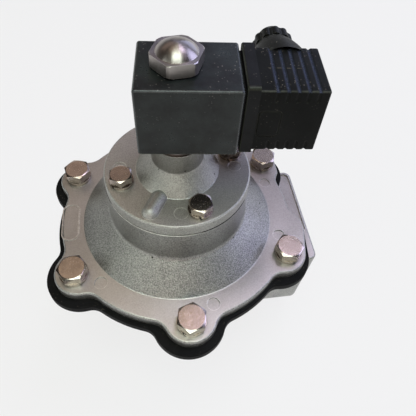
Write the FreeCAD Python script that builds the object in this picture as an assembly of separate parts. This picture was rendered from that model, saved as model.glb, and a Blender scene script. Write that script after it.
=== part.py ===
"""Two-stage right-angle pulse valve for a dust collector, with its solenoid pilot.

Millimetres. +Z runs up the valve from the outlet port, +X points out of the
inlet port. Z = 0 is the face of the outlet port.
"""
import FreeCAD, Part
import math
import os

V = FreeCAD.Vector
O = V(0, 0, 0)
X = V(1, 0, 0)
Y = V(0, 1, 0)
Z = V(0, 0, 1)

# heights of the main joints
outlet_face = 0.0
joint_z = 78.0            # top of the body flange
rim_t = 5.0               # rubber rim between the two flanges
cover_flange_t = 5.0
cone_h = 12.1
barrel_h = 19.3           # straight part of the cover above its cone
pilot_rubber_t = 1.4
disc_t = 6.3
dome_h = 8.6
neck_h = 11.3

# cover
cone_base_r = 51.05
barrel_r = 35.65
cover_wall = 5.05         # between the main room and the foot of the cone
roof_inset = 7.65         # between the roof's edge and the barrel
pilot_room_depth = 17.4
roof_t = 4.0              # between the main room and the pilot room
nozzle_wall = 3.0
nozzle_gap = 10.0         # ring room round the nozzle
transfer_r = 3.0
vent_r = 4.25
vent_wall = 2.4
vent_lift = 2.25          # vent above the floor of the pilot room
pin_mark_r = 3.2
pin_mark_depth = 0.8
pin_marks = [(5.35, -138.0), (5.35, -78.0), (5.65, -21.0), (4.55, 17.0)]
oval_half = 11.8          # bare raised oval on the flange
oval_w = 9.2
oval_line = 0.6
oval_h = 0.35

# outline shared by body, rubber and cover
web_w = 11.55             # flange outside the cone, between two lobes
bolt_gap = 12.35          # bolt circle outside the cone
lobe_back = 3.4           # lobe centres inside the bolt circle
lobe_r = 13.0
lobe_fillet = 9.0
lobe_angles = [30, 90, 150, 210, 270, 330]
swell_back = 2.7          # second arc of the wide lobe beside the inlet
swell_angle = -16.0
flat_w = 11.25            # lobe beside the inlet, from its centre to its flat side
rim_web_grow = 1.9        # how far the rubber stands out between lobes
rim_lobe_grow = 4.95      # and round the lobes
rim_lobe_in = [3.2, 1.2, 1.8, 1.2, 1.2, 1.7]    # centres of the rubber's lobes nearer the middle
rim_fillet = 8.0
rim_shift = (-0.6, -0.4)  # the rubber's edge sits a little to one side

# main bolts, M8, with spring washers
bolt_r = 4.0
bolt_hole_r = 4.5
bolt_af = 13.0
bolt_head_h = 5.3
bolt_len = 22.0
bolt_washer_t = 2.0
bolt_washer_edge = 0.5    # washer outside the head's flats
boss_extra = 1.5          # tapped boss below the end of its bolt
boss_r = 7.4
thread_fit = 0.05         # plain hole outside a plain shank

# pilot cover
disc_edge = 0.05          # disc inside the barrel
disc_foot_round = 0.3
barrel_rim_h = 0.75       # barrel's rim beside the edge of the pilot rubber
barrel_rim_w = 1.3
pilot_bolt_edge = 7.75    # pilot bolts inside the barrel's side
dome_gap = 7.8            # foot of the dome inside the pilot bolts
neck_r = 12.2
rib_angle = -120.0
rib_start = 3.1           # inside the foot of the dome
rib_stop = 1.75           # inside the disc's edge
rib_r = 4.0
pilot_bolt_angles = [13.5, 103.5, 193.5, 286.0]
pilot_bolt_r = 3.0
pilot_bolt_af = 10.0
pilot_bolt_head_h = 4.0
pilot_bolt_len = 20.0
pilot_washer_t = 1.6
pilot_washer_edge = 0.75
pilot_clear = 0.3         # hole outside a pilot bolt
pilot_room_gap = 7.9      # pilot room inside the pilot bolts
spring_pocket_r = 9.0
spring_pocket_h = 7.9
seat_depth = 8.0          # pilot seat below the top of the neck
pilot_orifice_r = 1.6

# body
body_flange_t = 5.5
body_inset = 1.2          # the body's outline is a little smaller than the cover's
bowl_inset = 8.6          # bowl inside the flange's web
bowl_lean = 7.0
bowl_foot_in = 11.0
bowl_bend_h = 8.0
bowl_wall = 5.0
outlet_boss_h = 14.0
floor_t = 6.0
seat_drop = 3.0           # seat below the joint
seat_wall = 4.0
port_thread_r = 22.43     # minor radius of the one and a half inch pipe thread
port_thread_len = 22.0
port_step = 1.43          # ways inside the thread
outlet_boss_wall = 8.57
block_wall = 9.07
block_cover = 7.57        # metal over and under the inlet thread
block_draft = 3.4         # how much each flank comes in towards the bottom
block_bottom_edge = 8.0
inlet_reach = 11.4        # inlet face outside the flange's web
recess_depth = 0.9
recess_rim_x = 1.5
recess_rim_y = 2.0
recess_front = 14.0

# main valve disc
disc_rubber_t = 4.2
fold_r = 6.0
fold_t = 3.0
plate_gap = 10.5          # top plate inside the middle of the fold
top_plate_t = 2.5
low_plate_gap = 4.0       # low plate inside the seat's bore
low_plate_t = 2.5
centre_bolt_r = 4.0
centre_bolt_af = 13.0
centre_bolt_head_h = 5.0
centre_nut_h = 6.5
main_spring_r = 13.0
main_spring_wire = 1.1
main_travel = 8.0

# pilot disc
pilot_plate_gap = 6.0     # plate inside the pilot room
pilot_plate_t = 1.5
pilot_travel = 2.5
pilot_play = 0.3
rivet_head_t = 1.5
pilot_spring_r = 6.2
pilot_spring_wire = 0.6

# solenoid tube and plunger
tube_flange_r = 11.2
tube_flange_t = 2.6
tube_bore_r = 6.0
tube_wall = 1.0
tube_stem_wall = 2.0
tube_stem_len = 6.4
plunger_gap = 0.08        # running clearance at the radius
plunger_lift = 2.5        # plunger's foot above the pilot seat
plunger_len = 28.5
plunger_travel = 1.9
plunger_play = 0.1
plunger_bore_len = 12.0
plunger_seal_r = 2.8
plunger_seal_in = 2.4
core_collar_h = 3.4
stud_r = 5.0
stud_len = 5.1
plunger_spring_r = 1.9
plunger_spring_wire = 0.3
lower_seal_t = 3.0

# coil, set at a small turn about the tube
coil_yaw = -5.9
coil_back = 16.45
coil_reach = 25.1
coil_half = 16.1
coil_h = 33.8
coil_edge = 1.2
coil_play = 0.3

# cap nut
nut_af = 19.0
nut_corner_extra = 1.1
nut_hex_h = 5.7
nut_seal_t = 0.7
nut_seal_in = 0.1
nut_dome_in = 1.15
nut_dome_h = 3.8

# plug
plug_rise = 0.25          # plug above the coil's middle
lip_t = 0.8
collar_t = 5.2
collar_half = 14.75
collar_h = 35.2
housing_len = 26.85
housing_half = 14.05
housing_h = 31.5
housing_wall = 2.2
groove_start = 6.6        # first groove's middle after the collar
groove_pitch = 4.0
groove_count = 5
groove_r = 1.6
groove_depth = 0.9
groove_end_depth = 0.45   # where a groove runs over the edge onto a side
groove_end_len = 3.2
ridge_round = 0.4
panel_start = 0.8
panel_w = 8.9
panel_h = 13.2
panel_drop = 0.85
blade_y = 9.0
blade_w = 6.3
blade_t = 0.8
blade_in = 6.0
blade_out = 13.0
line_blade_up = 1.75      # line blades above the plug's middle
earth_blade_down = 9.5
insert_len = 11.0
insert_play = 0.1
contact_wall = 1.85
screw_r = 1.5
screw_head_r = 2.9
screw_head_h = 2.8
screw_sink = 0.6
screw_in = 8.0

# cable gland
gland_start = 11.9        # gland's axis after the collar
neck_base_side = 1.6      # foot of the neck beside the gland's axis
gland_up = 4.55
neck_base_r = 12.8
neck_tip_r = 8.7
neck_len = 13.45
stub_len = 5.1
stub_r = 7.4
grommet_r = 6.3
cable_r = 4.0
gland_washer_t = 1.0
gland_nut_r = 9.1
gland_gap = 0.6
gland_dome_len = 4.8
gland_lobes = 12

# radii and heights that follow from the ones above
cover_cavity_r = cone_base_r - cover_wall
cover_roof_r = barrel_r - roof_inset
web_r = cone_base_r + web_w
bolt_c = cone_base_r + bolt_gap
lobe_c = bolt_c - lobe_back
swell_c = lobe_c - swell_back
bolt_washer_r = bolt_af / 2 + bolt_washer_edge
disc_r = barrel_r - disc_edge
pilot_bolt_c = barrel_r - pilot_bolt_edge
pilot_washer_r = pilot_bolt_af / 2 + pilot_washer_edge
dome_base_r = pilot_bolt_c - dome_gap
pilot_room_r = pilot_bolt_c - pilot_room_gap
nozzle_r = pilot_room_r - nozzle_gap
nozzle_bore_r = nozzle_r - nozzle_wall
rivet_head_r = nozzle_bore_r * 4 / 7
rivet_r = rivet_head_r / 2
transfer_c = (nozzle_r + pilot_room_r) / 2.0
pilot_plate_r = pilot_room_r - pilot_plate_gap
fold_c = cover_cavity_r - fold_r - fold_t / 2
top_plate_r = fold_c - plate_gap
seat_bore_r = port_thread_r - port_step
seat_outer_r = seat_bore_r + seat_wall
low_plate_r = seat_bore_r - low_plate_gap
bowl_top_r = web_r - bowl_inset
bowl_low_r = bowl_top_r - bowl_lean
bowl_foot_r = bowl_low_r - bowl_foot_in
tube_r = tube_bore_r + tube_wall
tube_stem_r = tube_bore_r + tube_stem_wall
coil_bore_r = tube_r + coil_play
nut_corner_r = nut_af / 2 + nut_corner_extra

cover_z1 = joint_z + rim_t
cover_z2 = cover_z1 + cover_flange_t
barrel_z1 = cover_z2 + cone_h
barrel_z2 = barrel_z1 + barrel_h
disc_z1 = barrel_z2 + pilot_rubber_t
barrel_rim_z = barrel_z2 + barrel_rim_h
disc_z2 = disc_z1 + disc_t
dome_z2 = disc_z2 + dome_h
neck_z2 = dome_z2 + neck_h
flange_bolt_end = cover_z2 + bolt_washer_t - bolt_len
pilot_bolt_end = disc_z2 + pilot_washer_t - pilot_bolt_len
boss_z = flange_bolt_end - boss_extra
pilot_floor = barrel_z2 - pilot_room_depth
cover_roof_under = pilot_floor - roof_t
vent_z = pilot_floor + vent_r + vent_lift
control_roof = disc_z1 + pilot_plate_t + pilot_travel + pilot_play
spring_pocket_top = control_roof + spring_pocket_h
pilot_seat_z = neck_z2 - seat_depth
seat_z = joint_z - seat_drop
disc_top = seat_z + disc_rubber_t
bolt_under = disc_top + top_plate_t
inlet_axis_z = joint_z - port_thread_r - block_cover
block_bottom = inlet_axis_z - port_thread_r - block_cover
chamber_floor = outlet_boss_h + floor_t
bowl_bend_z = chamber_floor + bowl_bend_h
plunger_foot = pilot_seat_z + plunger_lift
plunger_top = plunger_foot + plunger_len
core_from = plunger_top + plunger_travel + plunger_play
coil_z1 = neck_z2 + tube_flange_t + lower_seal_t
coil_z2 = coil_z1 + coil_h
tube_top = coil_z2 - core_collar_h
stud_top = coil_z2 + stud_len

inlet_face_x = web_r + inlet_reach
block_half = port_thread_r + block_wall
collar_from = coil_reach + lip_t
collar_x = collar_from + collar_t
housing_x2 = collar_x + housing_len
insert_x2 = collar_x + insert_len
plug_mid = (coil_z1 + coil_z2) / 2.0 + plug_rise
collar_z1 = plug_mid - collar_h / 2
collar_z2 = plug_mid + collar_h / 2
housing_z1 = plug_mid - housing_h / 2
housing_z2 = plug_mid + housing_h / 2
gland_x = collar_x + gland_start
gland_z = plug_mid + gland_up
gland_neck_y = housing_half + neck_len
gland_stub_y = gland_neck_y + stub_len
gland_band_y = gland_stub_y + gland_gap
gland_end_y = gland_band_y + gland_dome_len


def cyl(r, z1, z2, x=0.0, y=0.0):
    return Part.makeCylinder(r, z2 - z1, V(x, y, z1))


def tube(outer, inner, z1, z2, x=0.0, y=0.0):
    return cyl(outer, z1, z2, x, y).cut(cyl(inner, z1 - 1, z2 + 1, x, y))


def rod_x(r, x1, x2, y, z):
    return Part.makeCylinder(r, x2 - x1, V(x1, y, z), X)


def rod_y(r, y1, y2, x, z):
    return Part.makeCylinder(r, y2 - y1, V(x, y1, z), Y)


def box(x1, x2, y1, y2, z1, z2):
    return Part.makeBox(x2 - x1, y2 - y1, z2 - z1, V(x1, y1, z1))


def polar(r, deg, z=0.0):
    a = math.radians(deg)
    return V(r * math.cos(a), r * math.sin(a), z)


def turned(points):
    """Solid of revolution about Z from (radius, height) corners."""
    corners = [V(r, 0, z) for r, z in points]
    wire = Part.makePolygon(corners + corners[:1])
    return Part.Face(wire).revolve(O, Z, 360)


def hexagon(af, z1, z2, x=0.0, y=0.0, turn=0.0):
    r = af / math.sqrt(3.0)
    corners = [V(x, y, z1) + polar(r, turn + 60 * i) for i in range(6)]
    return Part.Face(Part.makePolygon(corners + corners[:1])).extrude(V(0, 0, z2 - z1))


def slab(x1, x2, y1, y2, z1, z2, r):
    """Box with its four vertical edges rounded."""
    return round_edges(box(x1, x2, y1, y2, z1, z2), r, lambda e: along(e, Z))


def along(edge, axis):
    if edge.Curve.TypeId != "Part::GeomLine":
        return False
    return abs(edge.tangentAt(edge.FirstParameter).dot(axis)) > 0.999


def round_edges(shape, r, wanted):
    edges = [e for e in shape.Edges if wanted(e)]
    return shape.makeFillet(r, edges) if edges else shape


def at_height(edge, z, tol=0.01):
    b = edge.BoundBox
    return abs(b.ZMin - z) < tol and abs(b.ZMax - z) < tol


def fuse_all(shapes):
    return shapes[0].multiFuse(shapes[1:]).removeSplitter()


def cut_all(shape, tools):
    return shape.cut(Part.makeCompound(tools))


def solid_of(shape):
    return shape.Solids[0] if len(shape.Solids) == 1 else shape


def disc_face(r, centre):
    return Part.Face(Part.Wire([Part.makeCircle(r, centre)]))


def lobed_face(web_grow, lobe_grow, fillet, z, lobe_in=(0.0,) * 6):
    """Six-lobed flange outline with its web and its lobes moved outward, at height z."""
    r1 = lobe_r + lobe_grow
    r2 = lobe_r + web_grow
    faces = [disc_face(web_r + web_grow, O)]
    for a, nearer in zip(lobe_angles, lobe_in):
        faces.append(disc_face(r1, polar(lobe_c - nearer, a)))
    start = polar(lobe_c - lobe_in[-1], lobe_angles[-1])
    end = polar(swell_c, swell_angle)
    faces.append(disc_face(r2, end))
    run = end - start
    lean = (r1 - r2) / run.Length
    ahead = V(run).normalize()
    side = V(ahead.y, -ahead.x, 0) * math.sqrt(1 - lean ** 2) + ahead * lean
    bridge = [start, start + side * r1, end + side * r2, end]
    faces.append(Part.Face(Part.makePolygon(bridge + bridge[:1])))
    merged = faces[0].multiFuse(faces[1:]).removeSplitter().Faces[0]
    outline = merged.makeOffset2D(fillet).makeOffset2D(-fillet)
    outline.translate(V(0, 0, z))
    return outline


def lobed_plate(grow, z1, z2):
    face = lobed_face(grow, grow, lobe_fillet, z1)
    return solid_of(face.extrude(V(0, 0, z2 - z1)))


def rubber_plate(extra, z1, z2):
    """Plate with the rubber's own outline: rounder lobes, nearly hidden webs."""
    face = lobed_face(rim_web_grow + extra, rim_lobe_grow + extra, rim_fillet, z1, rim_lobe_in)
    face.translate(V(*rim_shift, 0))
    return solid_of(face.extrude(V(0, 0, z2 - z1)))


def bolt_holes(r, z1, z2):
    spots = [polar(bolt_c, a) for a in lobe_angles]
    return [cyl(r, z1, z2, p.x, p.y) for p in spots]


def pilot_holes(r, z1, z2):
    spots = [polar(pilot_bolt_c, a) for a in pilot_bolt_angles]
    return [cyl(r, z1, z2, p.x, p.y) for p in spots]


# Body casting: flange, bowl round the seat tube, inlet block and outlet boss.

def inlet_block():
    low_half = block_half - block_draft
    corners = [V(0, -block_half, joint_z), V(0, block_half, joint_z)]
    corners += [V(0, low_half, block_bottom), V(0, -low_half, block_bottom)]
    face = Part.Face(Part.makePolygon(corners + corners[:1]))
    block = face.extrude(V(inlet_face_x, 0, 0))
    block = round_edges(block, block_bottom_edge,
                        lambda e: along(e, X) and at_height(e, block_bottom))
    back = V(inlet_face_x, block_half, 0)
    block = round_edges(block, 4.0, lambda e: near_corner(e, back))
    return round_edges(block, 1.2, lambda e: at_height(e, joint_z) and e.BoundBox.XMax > 1)


def near_corner(edge, corner):
    b = edge.BoundBox
    steep = b.ZMax - b.ZMin > 20
    return steep and b.XMin > corner.x - 0.5 and b.YMin > corner.y / 2


def body_outside():
    low = joint_z - body_flange_t
    foot = outlet_boss_h
    bowl = turned([(0, foot), (bowl_foot_r, foot), (bowl_low_r, bowl_bend_z),
                   (bowl_top_r, low + 1), (0, low + 1)])
    boss = cyl(port_thread_r + outlet_boss_wall, outlet_face, chamber_floor)
    boss = round_edges(boss, 1.5, lambda e: at_height(e, outlet_face))
    parts = [lobed_plate(-body_inset, low, joint_z), bowl, boss, inlet_block()]
    parts += bolt_holes(boss_r, boss_z, low + 1)
    return fuse_all(parts)


def body_inside():
    over = joint_z + 1
    top_r = bowl_top_r - bowl_wall - 1
    low_r = bowl_low_r - bowl_wall
    chamber = turned([(0, chamber_floor), (bowl_foot_r - 2, chamber_floor),
                      (low_r, bowl_bend_z + 2), (top_r, joint_z - 6), (top_r, over), (0, over)])
    seat = turned([(0, chamber_floor - 1), (seat_outer_r + 4, chamber_floor - 1),
                   (seat_outer_r, chamber_floor + 5), (seat_outer_r, seat_z - 1.5),
                   (seat_outer_r - 1.2, seat_z), (0, seat_z)])
    return chamber.cut(seat)


def label_recess():
    z1 = joint_z - recess_depth
    area = slab(bowl_low_r, inlet_face_x - recess_rim_x, -recess_front,
                block_half - recess_rim_y, z1, joint_z + 1, 3.0)
    return area.cut(rubber_plate(0.5, z1 - 1, joint_z + 2))


def valve_body():
    shape = body_outside().cut(body_inside())
    tools = [cyl(seat_bore_r, -1, seat_z + 1)]
    tools.append(cyl(port_thread_r, outlet_face - 1, port_thread_len))
    inner = inlet_face_x - port_thread_len
    tools.append(rod_x(port_thread_r, inner, inlet_face_x + 1, 0, inlet_axis_z))
    tools.append(rod_x(seat_bore_r, seat_outer_r + 5, inner + 1, 0, inlet_axis_z))
    tools += bolt_holes(bolt_r + thread_fit, boss_z - 1, joint_z + 1)
    tools.append(label_recess())
    return cut_all(shape, tools)


# Main rubber moulding: clamped rim, one raised fold, thick centre disc.

def main_diaphragm():
    rim = rubber_plate(0, joint_z, cover_z1)
    rim = rim.cut(cyl(fold_c + fold_r, joint_z - 1, cover_z1 + 1))
    rim = round_edges(rim, 0.8, lambda e: at_height(e, cover_z1) or at_height(e, joint_z))
    crown = Part.makeTorus(fold_c, fold_r + fold_t / 2, V(0, 0, disc_top))
    hollow = Part.makeTorus(fold_c, fold_r - fold_t / 2, V(0, 0, disc_top))
    keep = cyl(web_r, disc_top, disc_top + 2 * fold_r + fold_t)
    fold = crown.cut(hollow).common(keep)
    web = tube(cover_cavity_r + 2, fold_c + fold_r - fold_t / 2, joint_z, disc_top)
    centre = cyl(fold_c - fold_r + fold_t / 2, seat_z, disc_top)
    shape = fuse_all([rim, fold, web, centre])
    tools = [cyl(centre_bolt_r, seat_z - 1, disc_top + 1)]
    tools.append(cyl(0.9, seat_z - 1, disc_top + 1, top_plate_r + 1.6, 0))
    tools += bolt_holes(bolt_hole_r, joint_z - 1, cover_z1 + 1)
    return cut_all(shape, tools)


def main_top_plate():
    return turned([(centre_bolt_r, disc_top), (top_plate_r - 1, disc_top),
                   (top_plate_r, disc_top + 1), (top_plate_r, bolt_under),
                   (centre_bolt_r, bolt_under)])


def main_low_plate():
    z1 = seat_z - low_plate_t
    return turned([(centre_bolt_r, z1), (low_plate_r - 1, z1), (low_plate_r, z1 + 1),
                   (low_plate_r, seat_z), (centre_bolt_r, seat_z)])


def centre_bolt():
    head = hex_head(centre_bolt_af, bolt_under, bolt_under + centre_bolt_head_h)
    foot = seat_z - low_plate_t - centre_nut_h - 2
    return fuse_all([head, cyl(centre_bolt_r, foot, bolt_under + 1)])


def centre_nut():
    top = seat_z - low_plate_t
    nut = hexagon(centre_bolt_af, top - centre_nut_h, top)
    return nut.cut(cyl(centre_bolt_r, top - centre_nut_h - 1, top + 1))


# Fasteners.

def hex_head(af, z1, z2, x=0.0, y=0.0, turn=0.0):
    """Hexagon head with its upper corners turned off."""
    inner = af / 2.0
    outer = af / math.sqrt(3.0)
    drop = (outer - inner) * 0.6
    cap = turned([(0, z1), (outer + 0.1, z1), (outer + 0.1, z2 - drop),
                  (inner * 0.93, z2), (0, z2)])
    cap.translate(V(x, y, 0))
    return hexagon(af, z1, z2, x, y, turn).common(cap)


def hex_bolts(angles, circle, r, af, head_h, seat, length, turns):
    bolts = []
    for angle, turn in zip(angles, turns):
        p = polar(circle, angle)
        head = hex_head(af, seat, seat + head_h, p.x, p.y, turn)
        shank = cyl(r, seat - length, seat + 1, p.x, p.y)
        bolts.append(fuse_all([head, shank]))
    return Part.makeCompound(bolts)


def spring_washers(angles, circle, outer, inner, t, seat, turns):
    rings = []
    for angle, turn in zip(angles, turns):
        ring = tube(outer, inner, seat, seat + t)
        slit = box(inner - 1, outer + 1, -0.45, 0.45, seat - 2, seat + t + 2)
        slit.rotate(V(0, 0, seat + t / 2), X, 28)
        ring = ring.cut(slit)
        ring.rotate(O, Z, turn)
        ring.translate(polar(circle, angle))
        rings.append(ring)
    return Part.makeCompound(rings)


def flange_bolts():
    seat = cover_z2 + bolt_washer_t
    turns = [12, 40, 45, 3, 18, 47]
    return hex_bolts(lobe_angles, bolt_c, bolt_r, bolt_af, bolt_head_h, seat, bolt_len, turns)


def flange_spring_washers():
    turns = [250, 200, 215, 300, 235, 285]
    return spring_washers(lobe_angles, bolt_c, bolt_washer_r, bolt_r + 0.2,
                          bolt_washer_t, cover_z2, turns)


def pilot_bolts():
    seat = disc_z2 + pilot_washer_t
    turns = [10, 35, 29, 37]
    return hex_bolts(pilot_bolt_angles, pilot_bolt_c, pilot_bolt_r, pilot_bolt_af,
                     pilot_bolt_head_h, seat, pilot_bolt_len, turns)


def pilot_spring_washers():
    turns = [250, 120, 230, 265]
    return spring_washers(pilot_bolt_angles, pilot_bolt_c, pilot_washer_r, pilot_bolt_r + 0.2,
                          pilot_washer_t, disc_z2, turns)


# Main cover: lobed flange, cone, barrel, roof, pilot room and its nozzle.

def cover_outside():
    flange = lobed_plate(0, cover_z1, cover_z2)
    flat_x = polar(lobe_c, lobe_angles[0]).x + flat_w
    flange = flange.cut(box(flat_x, flat_x + lobe_r, lobe_r, lobe_c, cover_z1 - 1, cover_z2 + 1))
    flange = round_edges(flange, 5.0, lambda e: along(e, Z) and abs(e.BoundBox.XMin - flat_x) < 0.01)
    flange = round_edges(flange, 1.0, lambda e: at_height(e, cover_z2))
    dome = turned([(0, cover_z2 - 1), (cone_base_r, cover_z2 - 1), (cone_base_r, cover_z2),
                   (barrel_r, barrel_z1), (barrel_r, barrel_rim_z), (0, barrel_rim_z)])
    shape = fuse_all([flange, dome])
    shape = round_edges(shape, 0.8, lambda e: ring_at(e, cone_base_r, cover_z2))
    shape = round_edges(shape, 3.0, lambda e: ring_at(e, barrel_r, barrel_z1))
    return round_edges(shape, 0.4, lambda e: ring_at(e, barrel_r, barrel_rim_z))


def ring_at(edge, r, z):
    if edge.Curve.TypeId != "Part::GeomCircle" or not at_height(edge, z):
        return False
    return abs(edge.Curve.Radius - r) < 0.02


def cover_inside():
    low = cover_z1 - 1
    cavity = turned([(0, low), (cover_cavity_r, low), (cover_cavity_r, cover_z1 + 3),
                     (cover_roof_r, cover_roof_under), (0, cover_roof_under)])
    room = tube(pilot_room_r, nozzle_r, pilot_floor, barrel_z2 + 1)
    rubber_room = cyl(barrel_r - barrel_rim_w, barrel_z2, barrel_rim_z + 1)
    vent_tube = rod_y(vent_r + vent_wall, 0, barrel_r, 0, vent_z)
    tools = [cavity, rubber_room, room.cut(vent_tube)]
    tools.append(cyl(nozzle_bore_r, vent_z - vent_r - 1, barrel_z2 + 1))
    tools.append(rod_y(vent_r, 0, barrel_r + 2, 0, vent_z))
    for i in range(4):
        p = polar(transfer_c, 45 + 90 * i)
        tools.append(cyl(transfer_r, cover_roof_under - 1, pilot_floor + 1, p.x, p.y))
    return tools


def pin_mark(r, deg, z, depth):
    """Round shallow mark left by an ejector pin."""
    p = polar(r, deg)
    mark = cyl(pin_mark_r, z - depth, z + 1, p.x, p.y)
    return round_edges(mark, depth / 3, lambda e: at_height(e, z - depth))


def label_outline():
    """Bare raised oval left on the flange between two bolts."""
    edge = oval_w / 2 - 0.1
    outer = slab(-web_r, oval_w - web_r, -oval_half, oval_half,
                 cover_z2 - 1, cover_z2 + oval_h, edge)
    half = oval_half - oval_line
    inner = slab(oval_line - web_r, oval_w - oval_line - web_r, -half, half,
                 cover_z2 - 2, cover_z2 + 2, edge - oval_line)
    return outer.cut(inner)


def main_cover():
    shape = cut_all(cover_outside(), cover_inside())
    tools = bolt_holes(bolt_hole_r, cover_z1 - 1, cover_z2 + 1)
    tools += pilot_holes(pilot_bolt_r + thread_fit, pilot_bolt_end - 3, barrel_z2 + 1)
    for outside, deg in pin_marks:
        tools.append(pin_mark(cone_base_r + outside, deg, cover_z2, pin_mark_depth))
    shape = cut_all(shape, tools)
    return fuse_all([shape, label_outline()])


# Pilot stage: small rubber disc, its plate and rivet, and the cover over it.

def pilot_diaphragm():
    sheet = cyl(barrel_r - barrel_rim_w - 0.1, barrel_z2, disc_z1)
    tools = [cyl(rivet_r, barrel_z2 - 1, disc_z1 + 1)]
    tools += pilot_holes(pilot_bolt_r + pilot_clear, barrel_z2 - 1, disc_z1 + 1)
    p = polar((pilot_plate_r + pilot_room_r) / 2, pilot_bolt_angles[0] + 45)
    tools.append(cyl(0.5, barrel_z2 - 1, disc_z1 + 1, p.x, p.y))
    return cut_all(sheet, tools)


def pilot_plate():
    return tube(pilot_plate_r, rivet_r, disc_z1, disc_z1 + pilot_plate_t)


def pilot_rivet():
    top = disc_z1 + pilot_plate_t
    low = cyl(rivet_head_r, barrel_z2 - rivet_head_t, barrel_z2)
    high = cyl(rivet_head_r, top, top + 1.2)
    return fuse_all([low, cyl(rivet_r, barrel_z2 - 1, top + 1), high])


def pill_rib():
    low = disc_z2 - 0.6
    a = polar(dome_base_r - rib_start + rib_r, rib_angle, low)
    b = polar(disc_r - rib_stop - rib_r, rib_angle, low)
    run = b - a
    bar = Part.makeCylinder(rib_r, run.Length, a, run)
    ends = [Part.makeSphere(rib_r, p) for p in (a, b)]
    return fuse_all([bar] + ends).common(cyl(disc_r, disc_z2 - 2, disc_z2 + rib_r))


def pilot_cover_outside():
    shape = turned([(0, disc_z1), (disc_r, disc_z1), (disc_r, disc_z2), (dome_base_r, disc_z2),
                    (neck_r, dome_z2), (neck_r, neck_z2), (0, neck_z2)])
    shape = round_edges(shape, 1.0, lambda e: ring_at(e, disc_r, disc_z2))
    shape = round_edges(shape, disc_foot_round, lambda e: ring_at(e, disc_r, disc_z1))
    shape = round_edges(shape, 0.6, lambda e: ring_at(e, dome_base_r, disc_z2))
    shape = round_edges(shape, 2.0, lambda e: ring_at(e, neck_r, dome_z2))
    return fuse_all([shape, pill_rib()])


def pilot_cover():
    tools = [cyl(pilot_room_r, disc_z1 - 1, control_roof)]
    tools.append(cyl(spring_pocket_r, control_roof - 1, spring_pocket_top))
    tools.append(cyl(pilot_orifice_r, spring_pocket_top - 1, neck_z2))
    tools.append(tube(tube_stem_r, pilot_orifice_r * 2, pilot_seat_z - 3, pilot_seat_z))
    tools.append(cyl(tube_stem_r, pilot_seat_z, neck_z2 + 1))
    tools.append(rod_y(1.2, 4, neck_r + 1, 0, pilot_seat_z - 1.6))
    tools += pilot_holes(pilot_bolt_r + pilot_clear, disc_z1 - 1, disc_z2 + 1)
    for angle in pilot_bolt_angles:
        tools.append(pin_mark(pilot_bolt_c, angle - 18.5, disc_z2, pin_mark_depth / 3))
    return cut_all(pilot_cover_outside(), tools)


# Springs: round wire, ends cut flat so that each end sits on its seat.

def coil_spring(mid_r, wire_r, z1, z2, turns):
    height = z2 - z1
    pitch = (height + wire_r) / turns
    helix = Part.makeHelix(pitch, height + wire_r, mid_r)
    section = Part.Wire([Part.makeCircle(wire_r, V(mid_r, 0, 0), Y)])
    wire = Part.Wire(helix).makePipeShell([section], True, True)
    wire.translate(V(0, 0, z1 - wire_r / 2))
    return solid_of(wire.common(cyl(mid_r * 2, z1, z2)))


def main_spring():
    return coil_spring(main_spring_r, main_spring_wire, bolt_under, cover_roof_under, 4)


def pilot_spring():
    low = disc_z1 + pilot_plate_t
    return coil_spring(pilot_spring_r, pilot_spring_wire, low, spring_pocket_top, 5)


def plunger_spring():
    low = plunger_top - plunger_bore_len
    return coil_spring(plunger_spring_r, plunger_spring_wire, low, core_from, 7)


# Solenoid tube, core, plunger and seals.

def armature_tube():
    flange_top = neck_z2 + tube_flange_t
    stem_r = tube_stem_r - thread_fit
    foot = neck_z2 - tube_stem_len
    shape = turned([(tube_bore_r, foot), (stem_r, foot), (stem_r, neck_z2),
                    (tube_flange_r, neck_z2), (tube_flange_r, flange_top),
                    (tube_r, flange_top), (tube_r, tube_top), (tube_bore_r, tube_top)])
    return round_edges(shape, 0.4, lambda e: ring_at(e, tube_flange_r, flange_top))


def fixed_core():
    return turned([(0, core_from), (tube_bore_r, core_from), (tube_bore_r, tube_top),
                   (tube_r, tube_top), (tube_r, coil_z2), (stud_r, coil_z2),
                   (stud_r, stud_top - 0.6), (stud_r - 0.6, stud_top), (0, stud_top)])


def plunger():
    r = tube_bore_r - plunger_gap
    shape = turned([(0, plunger_foot), (r - 0.8, plunger_foot), (r, plunger_foot + 0.8),
                    (r, plunger_top - 0.5), (r - 0.5, plunger_top), (0, plunger_top)])
    bore_r = plunger_spring_r + plunger_spring_wire + 0.4
    tools = [cyl(bore_r, plunger_top - plunger_bore_len, plunger_top + 1)]
    tools.append(cyl(plunger_seal_r, plunger_foot - 1, plunger_foot + plunger_seal_in))
    for side in (-1, 1):
        edge = box(-0.9, 0.9, side * r - 1.2, side * r + 1.2, plunger_foot - 1, plunger_top + 1)
        tools.append(edge)
    return cut_all(shape, tools)


def plunger_seal():
    return cyl(plunger_seal_r, pilot_seat_z, plunger_foot + plunger_seal_in)


def lower_coil_seal():
    z1 = neck_z2 + tube_flange_t
    outer = tube_flange_r - 0.8
    ring = tube(outer, tube_r, z1, coil_z1)
    return round_edges(ring, 0.9, lambda e: ring_at(e, outer, coil_z1) or ring_at(e, outer, z1))


def nut_seal_ring():
    return tube(nut_af / 2 - nut_seal_in, stud_r + 0.3, coil_z2, coil_z2 + nut_seal_t)


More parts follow.
